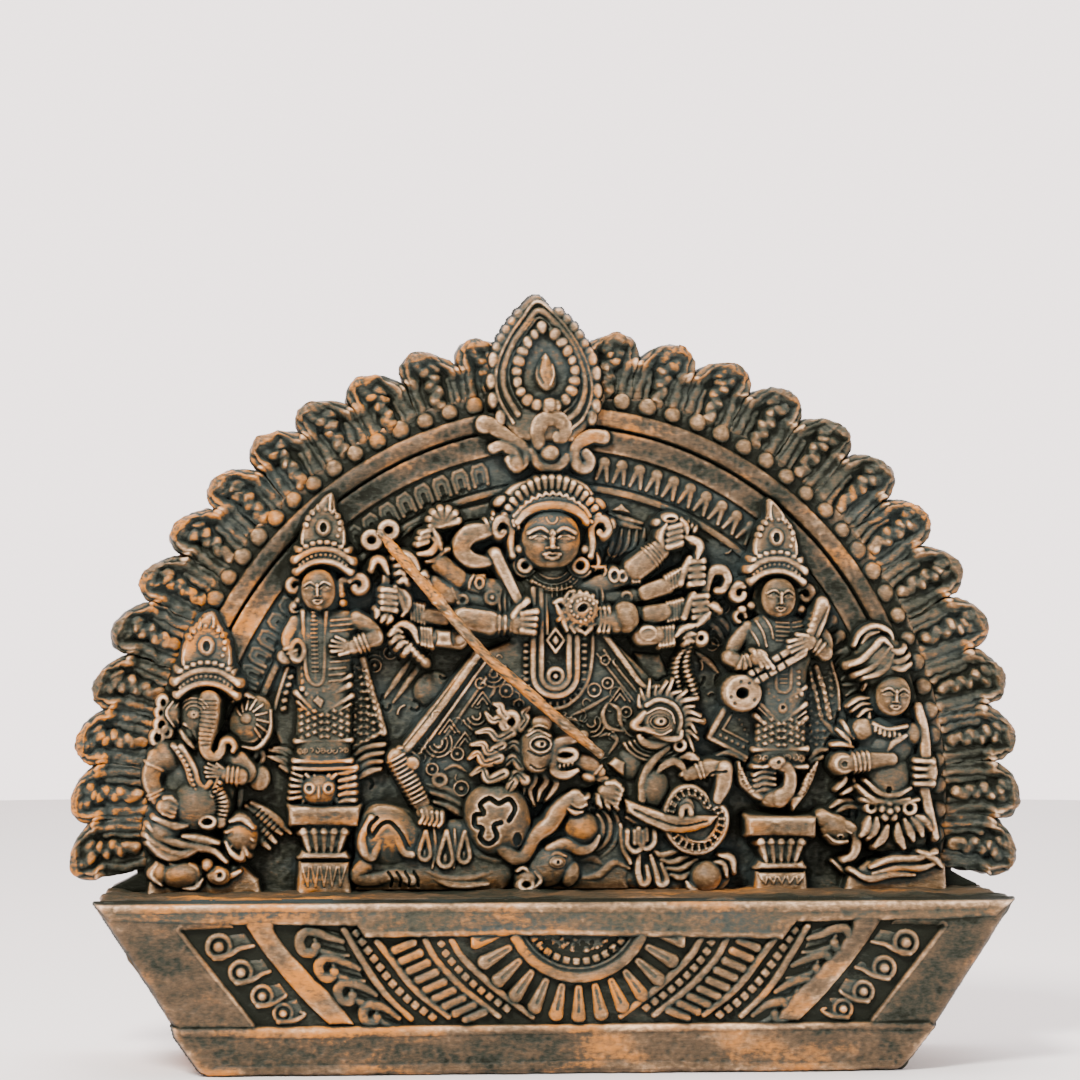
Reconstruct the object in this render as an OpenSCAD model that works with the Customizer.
// Arched temple-group relief on a boat-shaped plinth: a slab of clay with a petalled rim,
// and figures, stands and ornaments pressed or modelled separately and luted on.
// X runs to the right, Z up, and the front faces -Y. The origin is the middle of the foot.

/* [Plinth] */
// Depth of the plinth, front to back
depth = 56; // [50:1:62]
// Height of the plinth
plinth_h = 43; // [41:1:45]
// Width of the plinth's top edge
plinth_top_w = 232; // [226:1:236]
// Width of the plinth's foot
plinth_foot_w = 176; // [168:1:184]
// Height of the band along the foot
foot_band_h = 12.5; // [11:0.5:13]
// How far the front ornament stands out of its panel
fascia_t = 3; // [2:0.5:4]

/* [Arch] */
// Radius to the petal tips
arch_r = 126; // [124:1:128]
// Height of the arch's centre above the plinth
arch_rise = 20.5; // [19:0.5:22]
// Thickness of the back slab
slab_t = 14; // [12:1:18]
// Petals on each side of the crest
petals_per_side = 13; // [11:1:13]
// Angle from one petal to the next
petal_step = 7.25; // [7:0.05:7.25]

/* [Relief] */
// How far the figures stand out of the slab
figure_t = 12; // [10:0.5:14]
// How far hands, garlands and weapons stand out of the figures
overlay_t = 3; // [2:0.5:4]

/* [Hidden] */
$fn = 48;

clay = "#9a6a50";
dark_clay = "#4a4a40";
bright_clay = "#b8734f";

face_y = depth / 2 - slab_t;     // the slab's front plane
front_y = -depth / 2;            // the plinth's front plane
arch_z = plinth_h + arch_rise;   // height of the arch's centre
slab_r = 108.5;
band_r = [105.4, 101];           // outer moulding: outside and inside radius
inner_band_r = [100.2, 94.4];
bead_ring_r = 107;
crest_half_w = 15;
group_top = 114.5;               // the seated figures' highest points
tooth_r = [93.7, 87.4];
field_r = 86.6;
stand_top = [65.4, 62.2];        // heights of the left and right stand's top
stand_x = [-58.7, 60.8];
elephant_at = [-90.3, plinth_h];
archer_at = [90.8, plinth_h];

// ---------- construction helpers ----------

// Extrudes an outline drawn in (x, z) forwards, from one height above the slab's face to another
module relief(low, high)
    translate([0, face_y - low, 0]) rotate([90, 0, 0]) linear_extrude(high - low) children();

// Extrudes an outline drawn in (x, z) between two depths
module between(y_front, y_back)
    translate([0, y_back, 0]) rotate([90, 0, 0]) linear_extrude(y_back - y_front) children();

function polar(r, a) = [r * sin(a), r * cos(a)];
function around(c, r, a0, a1, n) = [for (i = [0 : n]) c + polar(r, a0 + (a1 - a0) * i / n)];

// A limb in the plane: two round ends of their own radii and straight sides
function limb_points(p, r, q, s) =
    let (d = q - p, a = atan2(d[0], d[1]))
    concat(around(p, r, a + 90, a + 270, 8), around(q, s, a - 90, a + 90, 8));
module limb(p, r, q, s) polygon(limb_points(p, r, q, s));

module oval(c, rx, rz)
    polygon([for (i = [0 : 23]) c + [rx * sin(i * 15), rz * cos(i * 15)]]);

module both_sides() {
    children();
    mirror([1, 0]) children();
}

module ring_sector(r_out, r_in, half_angle)
    intersection() {
        difference() {
            circle(r_out, $fn = 180);
            circle(r_in, $fn = 180);
        }
        polygon(concat([[0, 0]], around([0, 0], r_out * 1.3, -half_angle, half_angle, 24)));
    }

// ---------- outlines shared by neighbours ----------

module above_plinth(gap = 0)
    translate([-150, plinth_h + gap]) square([300, 200]);

module slab_2d() {
    intersection() {
        translate([0, arch_z]) circle(slab_r, $fn = 180);
        above_plinth();
    }
    translate([-117, plinth_h]) square([234, 4]);
}

module crest_2d() translate([0, arch_z])
    polygon([[-13, 103], [-14, 112], [-13.5, 119], [-10.5, 125], [-6.5, 130.5], [-4.5, 134.5],
        [-2.6, 135.3], [-0.8, 134.5], [1, 131], [5.5, 127], [10, 122], [12.6, 116], [13.4, 109],
        [12.5, 103], [8, 98.6], [-8, 98.6]]);

module crest_scrolls_2d() translate([0, arch_z]) {
    polygon([[-8, 98.4], [-9, 94], [-5, 87.4], [6, 87.4], [10, 94], [8.6, 98.4]]);
    limb([-9.2, 96.5], 1.6, [-15.5, 99.6], 2.2);
    limb([9.8, 95.6], 1.6, [15, 98.6], 2.2);
}

module elephant_2d() translate(elephant_at) {
    polygon([[-13.5, 0.2], [-14, 14], [-10.5, 24], [-10.5, 34], [-8, 38], [8, 38], [9.5, 30],
        [8.5, 22], [12.6, 14], [9.8, 0.2]]);
}
module elephant_head_2d() translate(elephant_at)
    polygon([[-5.4, 38.2], [-5.6, 44], [-4.8, 50], [6, 50], [6.4, 42], [7.8, 38.2]]);
module elephant_ears_2d() translate(elephant_at) {
    oval([-9, 44.2], 3.1, 5.2);
    oval([12.6, 43], 4.6, 6);
}
module elephant_crown_2d() translate(elephant_at)
    polygon([[-5.2, 50.2], [-6.2, 54.8], [-4.2, 57], [-4.6, 61], [-1.6, 66], [1, 69], [3.8, 66],
        [6.6, 61], [5.8, 57], [8, 54.8], [6.4, 50.2]]);

module archer_2d() translate(archer_at) {
    polygon([[-8, 15.2], [-7, 21], [-5.4, 28], [-8.2, 36], [-8.4, 42], [-3, 43.6], [3.4, 43.6],
        [6.4, 41], [5.6, 30], [6.8, 21], [8.5, 13], [12, 4], [-4, 4]]);
}
module archer_head_2d() translate(archer_at) {
    oval([0.2, 49], 4.6, 5.2);
    limb([-5.5, 49], 1.6, [-9, 46.5], 1.8);
}
module archer_turban_2d() translate(archer_at)
    polygon([[-4.4, 54.4], [-9.2, 58.5], [-7.8, 63], [-4, 67.4], [-0.4, 68.6], [2.4, 65],
        [4.6, 59], [4.2, 54.4]]);
module bow_2d() translate(archer_at) {
    limb([7, 45], 1, [9.2, 30], 1.2);
    limb([9.2, 30], 1.2, [11.6, 13.6], 1.2);
}
module peacock_2d() translate(archer_at) {
    polygon([[-16.4, 11], [-14, 16.6], [-9, 15], [-8.4, 4], [-4.4, 3.8], [11, 3.8], [12.6, 0.2],
        [-11, 0.2], [-13, 5]]);
}

// A standing attendant, drawn about the middle of the stand's top
module attendant_body_2d()
    polygon([[-6.8, 9.4], [-7.4, 26], [-9.2, 34], [-11, 40], [-8.6, 47.4], [-3, 50.2],
        [3, 50.2], [8.4, 47.4], [14, 43.6], [9, 36], [7.2, 28], [7, 9.4]]);
module attendant_head_2d() {
    oval([-1.3, 55.6], 4.4, 5.2);
    oval([-7.4, 57], 1.5, 2.4);
    oval([6.6, 57.6], 2, 2.6);
}
module attendant_crown_2d()
    polygon([[-5.6, 61.2], [-6.6, 65.8], [-5.4, 69], [-4.6, 73.6], [-1.6, 79], [0.2, 81],
        [2, 79], [5, 73.6], [6, 69], [6.4, 65.8], [5, 61.2]]);
module attendant_cape_2d() {
    polygon([[7.4, 28], [9.4, 36], [11, 38.4], [16.4, 18.8], [17.4, 14.6], [9, 5], [3.8, 1.6],
        [3.6, 9.2], [7.2, 9.2]]);
    polygon([[-7, 9.2], [-7.6, 26], [-9.4, 33.6], [-10.6, 35], [-13.6, 17], [-11.4, 10.6],
        [-4.8, 1.8], [-4.6, 9.2]]);
}
module stand_2d(top) {
    polygon([[-8.4, top - 0.2], [8.4, top - 0.2], [8.4, top - 5.2], [5.4, top - 6.4],
        [4.6, top - 11], [6.4, top - 15], [6.4, plinth_h + 0.2], [-6.4, plinth_h + 0.2],
        [-6.4, top - 15], [-4.6, top - 11], [-5.4, top - 6.4], [-8.4, top - 5.2]]);
}

module side_groups_2d() {
    for (i = [0, 1])
        translate([stand_x[i], 0]) {
            stand_2d(stand_top[i]);
            translate([0, stand_top[i]]) {
                attendant_body_2d();
                attendant_head_2d();
                attendant_crown_2d();
                attendant_cape_2d();
                oval([-0.6, 4.6], 4, 4.2);
            }
        }
    elephant_2d();
    elephant_head_2d();
    elephant_ears_2d();
    elephant_crown_2d();
    archer_2d();
    archer_head_2d();
    archer_turban_2d();
    bow_2d();
    peacock_2d();
}

module goddess_head_2d() translate([0.5, 133.2]) oval([0, 0], 10.2, 11);
module goddess_crown_2d() translate([0.5, 133.2])
    difference() {
        union() {
            translate([0, 3]) intersection() {
                circle(15, $fn = 90);
                translate([-15, 0]) square([30, 15]);
            }
            both_sides() oval([13, -1.6], 3.4, 5.4);
        }
        oval([0, 0], 10.3, 11.1);
    }
module lion_head_2d() {
    oval([-6.2, 80], 9.6, 9.6);
    polygon([[2, 84], [8.6, 81.4], [9.4, 78], [7.4, 72.6], [2, 73]]);
}
module lion_body_2d() {
    polygon([[-50.5, 43.2], [-50, 58], [-46, 65], [-37, 65.2], [-31, 60], [-24, 57.6],
        [-21.5, 63.5], [-15, 67.6], [-8.4, 65.8], [-5.6, 60], [-6.6, 52], [-8.4, 47.2],
        [-9.6, 43.2]]);
}
module buffalo_2d()
    polygon([[-8.2, 44.2], [-5.2, 51.6], [1, 55.6], [7, 57.4], [14, 55.8], [16.4, 49],
        [14, 43.2], [-6, 43.2]]);
module demon_body_2d()
    polygon([[10.2, 72], [12.4, 77], [19, 79], [26, 77], [33, 76], [43, 77.6], [45.6, 72],
        [44, 66], [36, 68], [30, 64], [29.6, 56], [38, 49], [45, 46.6], [44, 43.2], [17, 43.2],
        [17.4, 50], [15.4, 57.4], [9.4, 64]]);
module demon_head_2d() oval([28.6, 87], 8, 7.6);
module goddess_shin_2d() {
    limb([-39.8, 76.6], 2.4, [-32.4, 66.4], 2);
    oval([-30, 63.4], 3.4, 2.2);
}
module goddess_body_2d()
    difference() {
        polygon([[-7.4, 119], [-9.6, 108], [-13, 101], [-38.4, 80], [-36, 74], [-24, 60.4],
            [-10, 62], [6, 70], [16, 78], [30, 93], [13, 101], [9.6, 108], [8.4, 119]]);
        lion_head_2d();
        lion_body_2d();
        demon_body_2d();
        demon_head_2d();
        goddess_shin_2d();
    }

// ---------- plinth ----------

function plinth_half_w(z) = (plinth_foot_w + (plinth_top_w - plinth_foot_w) * z / plinth_h) / 2;

module plinth_slice(z0, z1, inset = 0)
    polygon([[-plinth_half_w(z0) + inset, z0], [plinth_half_w(z0) - inset, z0],
        [plinth_half_w(z1) - inset, z1], [-plinth_half_w(z1) + inset, z1]]);

panel_top = 37;
rail_drop = 3;            // the middle of the rail hangs lower than its ends
rail_half_w = 51;
fan_c = [0, 33.8];
groove_half_w = 48;

module plinth_core()
    color(clay) difference() {
        between(front_y + fascia_t, depth / 2) plinth_slice(0, plinth_h);
        translate([0, front_y + 8, plinth_h]) rotate([0, 90, 0])
            cylinder(r = 1.6, h = groove_half_w * 2, center = true);
    }

module top_rail()
    color(bright_clay) between(front_y, front_y + fascia_t) {
        plinth_slice(panel_top, plinth_h);
        polygon([[-rail_half_w, panel_top], [-rail_half_w + 2, panel_top - rail_drop],
            [rail_half_w - 2, panel_top - rail_drop], [rail_half_w, panel_top]]);
    }

module foot_band()
    color(bright_clay) between(front_y, front_y + fascia_t) plinth_slice(0, foot_band_h);

// Plain corner plates and the smooth diagonal bands between the carved panels
module fascia_frame()
    color(clay) between(front_y, front_y + fascia_t) both_sides() {
        polygon([[-plinth_half_w(panel_top), panel_top], [-plinth_half_w(foot_band_h), foot_band_h],
            [-75, foot_band_h], [-94, panel_top]]);
        polygon([[-79, panel_top], [-72, panel_top], [-66, 30], [-50.6, foot_band_h],
            [-57, foot_band_h], [-71.5, 28]]);
    }

module ring_dots()
    color(bright_clay) between(front_y + 0.8, front_y + fascia_t) both_sides()
        for (i = [0 : 3])
            difference() {
                translate([-84.6 + 5.6 * i, 32.4 - 5.6 * i]) circle(2.6);
                translate([-84.6 + 5.6 * i, 32.4 - 5.6 * i]) circle(1.5);
            }

module scroll_leaves()
    color(bright_clay) between(front_y + 0.8, front_y + fascia_t) both_sides()
        for (i = [0 : 3])
            translate([-62.6 + 5.4 * i, 33 - 5.7 * i]) {
                circle(2.1);
                translate([1.9, -0.9]) square([5.2 - 0.4 * i, 2.6]);
            }

// Three slanting strips of square beads and pads, between thin ridges
module bead_strips()
    color(bright_clay) between(front_y + 0.6, front_y + fascia_t) both_sides()
        for (strip = [[-50, 1.6], [-43.4, 3.4], [-36.6, 1.6]], i = [0 : 5])
            translate([strip[0] + 3.1 * i + (strip[0] + 50) * 0.1, 31.4 - 3.3 * i]) rotate(-45)
                square([strip[1], 1.9], center = true);

module sun_fan() {
    color(bright_clay) between(front_y + 0.4, front_y + fascia_t) translate(fan_c) {
        intersection() {
            ring_sector(15, 12.6, 178);
            translate([-20, -20]) square([40, 20]);
        }
        for (a = [100 : 11.4 : 261])
            polygon([for (p = [[16, -0.9], [18, -1.4], [20.6, -1.1], [20.6, 1.1], [18, 1.4],
                [16, 0.9]]) polar(p[0], a) + polar(p[1], a + 90)]);
        for (a = [104 : 14 : 258])
            rotate(-a) translate([0, 10.6]) square([2, 1.7], center = true);
    }
}

// ---------- arch ----------

module back_slab()
    color(dark_clay) between(face_y, depth / 2) slab_2d();

first_petal = 7.6;
function petal_angle(i) = first_petal + petal_step * i;

module petal_2d(a) {
    points = [[-6.55, 106], [-7.2, 117], [-5.4, 122.4], [-2.4, arch_r - 0.5], [0, arch_r],
        [2.4, arch_r - 0.5], [5.4, 122.4], [7.2, 117], [6.55, 106]];
    polygon([for (p = points) polar(p[1], a) + polar(p[0], a + 90)]);
}

module petal_border()
    color(clay) between(face_y - 2, depth / 2) difference() {
        translate([0, arch_z]) both_sides()
            for (i = [0 : petals_per_side - 1]) petal_2d(petal_angle(i));
        translate([0, arch_z]) circle(slab_r + 0.02, $fn = 180);
        crest_2d();
        translate([-150, 0]) square([300, plinth_h + 4.05]);
    }

module petal_buds()
    color(bright_clay) relief(2, 4.4) difference() {
        translate([0, arch_z]) both_sides()
            for (i = [0 : petals_per_side - 1], bud = [[-1.7, 120.6, 1.6], [1.7, 120.6, 1.6],
                [0, 117, 1.4], [0, 113.8, 1.2]])
                translate(polar(bud[1], petal_angle(i)) + polar(bud[0], petal_angle(i) + 90))
                    circle(bud[2], $fn = 24);
        crest_2d();
    }

// One round bead at each half step, left out where a figure stands in front of it
module rim_beads()
    color(clay) for (side = [-1, 1], i = [0 : 2 * petals_per_side - 1]) {
        a = first_petal + petal_step * (i - 0.5) / 2;
        p = polar(bead_ring_r, a * side) + [0, arch_z];
        behind_group = abs(p[0]) > 84 && p[1] < group_top;
        if (abs(p[0]) > crest_half_w && !behind_group)
            translate([p[0], face_y, p[1]]) rotate([90, 0, 0])
                rotate_extrude($fn = 24) polygon([[0, 0], [1.45, 0], [1.4, 0.8], [1, 1.5], [0, 1.9]]);
    }

module behind_figures(r_out, r_in, half_angle, top)
    relief(0, top) difference() {
        intersection() {
            translate([0, arch_z]) ring_sector(r_out, r_in, half_angle);
            above_plinth(0.2);
        }
        side_groups_2d();
        crest_2d();
        crest_scrolls_2d();
    }

module outer_band() color(clay) behind_figures(band_r[0], band_r[1], 100, 3.4);
module inner_band() color(clay) behind_figures(inner_band_r[0], inner_band_r[1], 100, 2.8);

module tooth_row()
    color(clay) relief(0, 1.8) difference() {
        translate([0, arch_z]) both_sides()
            for (a = [9.5 : 3.4 : 80])
                polygon([for (p = [[0, -1.9], [0.85, -1.6], [1, 0], [0.85, 1.6], [0, 1.9], [0.3, 0]])
                    polar(tooth_r[1] + p[0] * (tooth_r[0] - tooth_r[1]), a) + polar(p[1], a + 90)]);
        side_groups_2d();
        crest_scrolls_2d();
    }

module inner_field()
    color(dark_clay) relief(0, 1) difference() {
        intersection() {
            translate([0, arch_z]) circle(field_r, $fn = 180);
            above_plinth(0.2);
        }
        side_groups_2d();
        goddess_body_2d();
        goddess_head_2d();
        goddess_crown_2d();
        goddess_arms_2d();
        lion_body_2d();
        lion_head_2d();
        buffalo_2d();
        demon_body_2d();
        demon_head_2d();
        goddess_shin_2d();
        axe_2d();
    }

module crest_plate()
    color(clay) between(face_y - 4, depth / 2) difference() {
        crest_2d();
        translate([0, arch_z]) circle(slab_r + 0.02, $fn = 180);
    }

module crest_pearls()
    color(bright_clay) relief(4, 6.4) translate([-0.4, arch_z]) {
        for (i = [0 : 15])
            let (a = 22.5 * i, r = 7.4)
                translate([r * sin(a) * (1 - 0.28 * cos(a)) - 0.06 * r * cos(a), 117.4 + 10.4 * cos(a)])
                    circle(1.25, $fn = 24);
        oval([-0.6, 116.4], 3, 4.6);
    }

module crest_scrolls()
    color(bright_clay) relief(0, 7) crest_scrolls_2d();

// ---------- the goddess and her group ----------

module arms_side_2d(elbows_hands) {
    for (arm = elbows_hands) {
        limb(arm[0], 2.7, arm[1], 2.1);
        oval(arm[2], 2.5, 2.5);
    }
}
// Each arm: shoulder end, wrist, middle of the hand
left_arms = [[[-12.4, 123.4], [-28.6, 131.4], [-29.6, 135.4]], [[-16.6, 119.6], [-34.6, 127], [-38, 129.6]],
    [[-17, 112.6], [-35.4, 115.6], [-41.6, 118.6]], [[-15, 107.8], [-33.6, 109.2], [-38.6, 109]]];
right_arms = [[[14.6, 123.6], [28.4, 133], [32, 137.4]], [[16, 118.6], [33.4, 123.8], [38, 125.8]],
    [[17.4, 114], [34, 115.8], [39.4, 117.6]], [[15.4, 108], [31.4, 109.6], [35.8, 110]]];
module goddess_arms_2d() {
    arms_side_2d(left_arms);
    arms_side_2d(right_arms);
}

module goddess_body()
    color(clay) relief(0, figure_t) difference() {
        goddess_body_2d();
        goddess_head_2d();
        goddess_crown_2d();
        goddess_arms_2d();
    }

module goddess_head() {
    color(bright_clay) relief(0, figure_t + 1) goddess_head_2d();
    color(bright_clay) relief(figure_t + 1, figure_t + 3) translate([0.5, 133]) oval([0, 0], 7.6, 8.4);
}

module goddess_crown()
    color(bright_clay) relief(0, figure_t - 1) goddess_crown_2d();

module goddess_arms(arms)
    relief(0, figure_t - 3) difference() {
        arms_side_2d(arms);
        goddess_head_2d();
        goddess_crown_2d();
        axe_2d();
    }
module goddess_left_arms() {
    color(bright_clay) goddess_arms(left_arms);
    color(bright_clay) relief(figure_t, figure_t + overlay_t)
        polygon(limb_points([-9.4, 112.8], 2.4, [-7, 113], 2.4));
}
module goddess_right_arms() {
    color(bright_clay) goddess_arms(right_arms);
    color(bright_clay) relief(figure_t, figure_t + overlay_t)
        polygon(limb_points([12, 114], 2, [9.6, 114.4], 2));
}

module u_band(half_w, top, bottom, w)
    difference() {
        union() {
            translate([-half_w, bottom + half_w]) square([half_w * 2, top - bottom - half_w]);
            translate([0, bottom + half_w]) circle(half_w);
        }
        translate([-half_w + w, bottom + half_w]) square([(half_w - w) * 2, top]);
        translate([0, bottom + half_w]) circle(half_w - w);
    }

module goddess_garland()
    color(bright_clay) relief(figure_t, figure_t + 2) difference() {
        translate([1.8, 0]) u_band(6.2, 116, 89.4, 2.2);
        polygon(limb_points([-9.4, 112.8], 2.5, [-7, 113], 2.5));
        translate([8, 116.5]) circle(4.7);
        polygon(limb_points([12, 114], 2.1, [9.6, 114.4], 2.1));
        spear_2d(1.6);
    }

module goddess_shin()
    color(bright_clay) relief(0, figure_t - 1) goddess_shin_2d();

module discus()
    color(bright_clay) relief(figure_t, figure_t + 2.6) difference() {
        translate([8, 116.5]) circle(4.6);
        translate([8, 116.5]) circle(1.2);
        polygon(limb_points([12, 114], 2.05, [9.6, 114.4], 2.05));
    }

module axe_2d()
    difference() {
        union() {
            limb([-16.6, 136.4], 2.4, [-22.6, 133.6], 3);
            limb([-22.6, 133.6], 3, [-21.4, 129.6], 2.6);
            limb([-21.4, 129.6], 2.6, [-14.4, 128.4], 1.8);
            limb([-14.4, 128.4], 1.6, [-11.6, 122.6], 1.5);
        }
        goddess_crown_2d();
        goddess_head_2d();
    }
module crescent_axe()
    color(bright_clay) relief(0, figure_t - 2) axe_2d();

module spear_2d(r) {
    limb([-42, 132.4], r, [-10, 101.4], r);
    limb([-10, 101.4], r, [17, 75.6], r);
}
// The free rod of the spear, which bears on the goddess's skirt and ends at the demon's chest
module spear()
    color(bright_clay) {
        relief(figure_t + 2, figure_t + 4.4) spear_2d(1.2);
        relief(0, figure_t + 2) difference() {
            oval([-46.4, 135.4], 3.6, 3);
            side_groups_2d();
            goddess_arms_2d();
        }
        relief(figure_t + 2, figure_t + 4.4) limb([-46, 136.2], 0.8, [-42, 132.4], 1.2);
        relief(figure_t, figure_t + 2) limb([-14, 105.2], 1, [-11, 102.4], 1);
    }

module lion_body() {
    color(clay) relief(0, figure_t - 1) difference() {
        lion_body_2d();
        goddess_shin_2d();
        attendants_clear_2d();
    }
    color(clay) relief(figure_t - 1, figure_t + 2) oval([-14.4, 59.6], 6.6, 7.4);
}
module attendants_clear_2d() {
    translate([stand_x[0], 0]) stand_2d(stand_top[0]);
}

module lion_head()
    color(bright_clay) relief(0, figure_t + 1.8) lion_head_2d();

module buffalo()
    color(clay) relief(0, figure_t - 2) difference() {
        buffalo_2d();
        lion_body_2d();
        demon_body_2d();
    }

module demon_body()
    color(clay) relief(0, figure_t - 1) difference() {
        demon_body_2d();
        lion_head_2d();
        demon_head_2d();
        attendants_right_clear_2d();
    }
module attendants_right_clear_2d()
    translate([stand_x[1], 0]) {
        stand_2d(stand_top[1]);
        translate([0, stand_top[1]]) attendant_cape_2d();
    }

module demon_head()
    color(bright_clay) relief(0, figure_t + 1) demon_head_2d();

module shield()
    color(bright_clay) relief(figure_t - 1, figure_t + 1.4) intersection() {
        oval([38.4, 61.4], 6.8, 8.4);
        translate([0, plinth_h]) square([120, 100]);
    }

module sword()
    color(bright_clay) relief(figure_t + 1.4, figure_t + 3)
        polygon([[18.6, 67.4], [20, 64.6], [28, 60.6], [36, 59.4], [42.6, 61.8], [36, 62.6],
            [28, 64], [20.4, 67.8]]);

// ---------- attendants on stands ----------

module stand(i)
    relief(0, figure_t) translate([stand_x[i], 0]) stand_2d(stand_top[i]);
module left_stand() color(clay) stand(0);
module right_stand() color(clay) stand(1);

module on_stand(i) translate([stand_x[i], 0, stand_top[i]]) children();

module attendant_body()
    relief(0, figure_t - 2) difference() {
        attendant_body_2d();
        attendant_head_2d();
        attendant_cape_2d();
    }
module left_figure_body() color(clay) on_stand(0) {
    attendant_body();
    relief(figure_t - 2, figure_t + 0.6) limb([12, 43.4], 2, [6, 41.6], 2);
}
module right_figure_body() color(clay) on_stand(1) {
    attendant_body();
    relief(figure_t - 2, figure_t + 0.6) limb([9.4, 46], 2, [9, 45.6], 2);
}

module attendant_head() {
    relief(0, figure_t) difference() {
        attendant_head_2d();
        attendant_crown_2d();
    }
    relief(figure_t, figure_t + 1.4) oval([-1.3, 55.2], 3.2, 4);
}
module left_figure_head() color(bright_clay) on_stand(0) attendant_head();
module right_figure_head() color(bright_clay) on_stand(1) attendant_head();

module attendant_crown() {
    relief(0, figure_t - 2) attendant_crown_2d();
    relief(figure_t - 2, figure_t) difference() {
        oval([0, 70.8], 4.4, 5);
        oval([0, 70.8], 1.4, 2);
    }
}
module left_figure_crown() color(bright_clay) on_stand(0) attendant_crown();
module right_figure_crown() color(bright_clay) on_stand(1) attendant_crown();

module left_figure_cape()
    color(dark_clay) on_stand(0) relief(0, figure_t - 5) difference() {
        attendant_cape_2d();
        oval([-0.6, 4.6], 4.05, 4.25);
    }
module right_figure_cape()
    color(dark_clay) on_stand(1) relief(0, figure_t - 5) difference() {
        attendant_cape_2d();
        oval([-0.6, 4.6], 4.05, 4.25);
    }

module owl()
    color(bright_clay) on_stand(0) relief(0, figure_t) difference() {
        oval([-0.6, 4.6], 4, 4.2);
        translate([-6, -6]) square([12, 6]);
    }

module swan()
    color(bright_clay) on_stand(1) relief(0, figure_t) difference() {
        oval([-0.6, 4.6], 4, 4.2);
        translate([-6, -6]) square([12, 6]);
    }

// Long-necked lute held across the body, on the figure's front
module lute()
    color(bright_clay) relief(figure_t - 2, figure_t) translate([stand_x[1], stand_top[1]])
        difference() {
            union() {
                limb([-10.4, 32.6], 3.4, [-10, 33], 3.4);
                limb([-8, 34.6], 1.5, [11.4, 55], 1.2);
            }
            translate([-10.4, 32.6]) circle(1.3);
            attendant_head_2d();
            limb([9.4, 46], 2.05, [9, 45.6], 2.05);
        }

// ---------- seated figures on the plinth ----------

module elephant_god_body()
    color(clay) relief(0, figure_t) difference() {
        elephant_2d();
        elephant_ears_2d();
        mouse_2d();
    }
module mouse_2d() translate(elephant_at)
    polygon([[-8.6, 0.2], [-8, 6], [2, 6.4], [8, 5.6], [9.6, 3], [7, 0.2]]);
module mouse() color(bright_clay) relief(0, figure_t + 2) mouse_2d();
module elephant_god_head() {
    color(bright_clay) relief(0, figure_t + 1) difference() {
        elephant_head_2d();
        elephant_ears_2d();
    }
    color(bright_clay) relief(figure_t + 1, figure_t + 3) translate(elephant_at)
        limb([0.8, 47], 2.2, [0.6, 40.4], 1.7);
}
module elephant_god_ears() color(clay) relief(0, figure_t - 3) elephant_ears_2d();
module elephant_god_crown() color(bright_clay) relief(0, figure_t - 1) elephant_crown_2d();

module archer_body()
    color(clay) relief(0, figure_t - 1) difference() {
        archer_2d();
        bow_2d();
        peacock_2d();
    }
module archer_head() color(bright_clay) relief(0, figure_t + 1) archer_head_2d();
module archer_turban() color(bright_clay) relief(0, figure_t) archer_turban_2d();
module bow() color(bright_clay) relief(0, figure_t) difference() {
    bow_2d();
    peacock_2d();
    archer_head_2d();
}
module peacock() color(clay) relief(0, figure_t + 1) peacock_2d();

// ---------- what is drawn ----------

plinth_core();
top_rail();
foot_band();
fascia_frame();
ring_dots();
scroll_leaves();
bead_strips();
sun_fan();
back_slab();
petal_border();
petal_buds();
rim_beads();
outer_band();
inner_band();
tooth_row();
inner_field();
crest_plate();
crest_pearls();
crest_scrolls();
goddess_body();
goddess_head();
goddess_crown();
goddess_left_arms();
goddess_right_arms();
goddess_garland();
goddess_shin();
discus();
crescent_axe();
spear();
lion_body();
lion_head();
buffalo();
demon_body();
demon_head();
shield();
sword();
left_stand();
left_figure_body();
left_figure_head();
left_figure_crown();
left_figure_cape();
owl();
right_stand();
right_figure_body();
right_figure_head();
right_figure_crown();
right_figure_cape();
lute();
swan();
elephant_god_body();
elephant_god_head();
elephant_god_ears();
elephant_god_crown();
mouse();
archer_body();
archer_head();
archer_turban();
bow();
peacock();
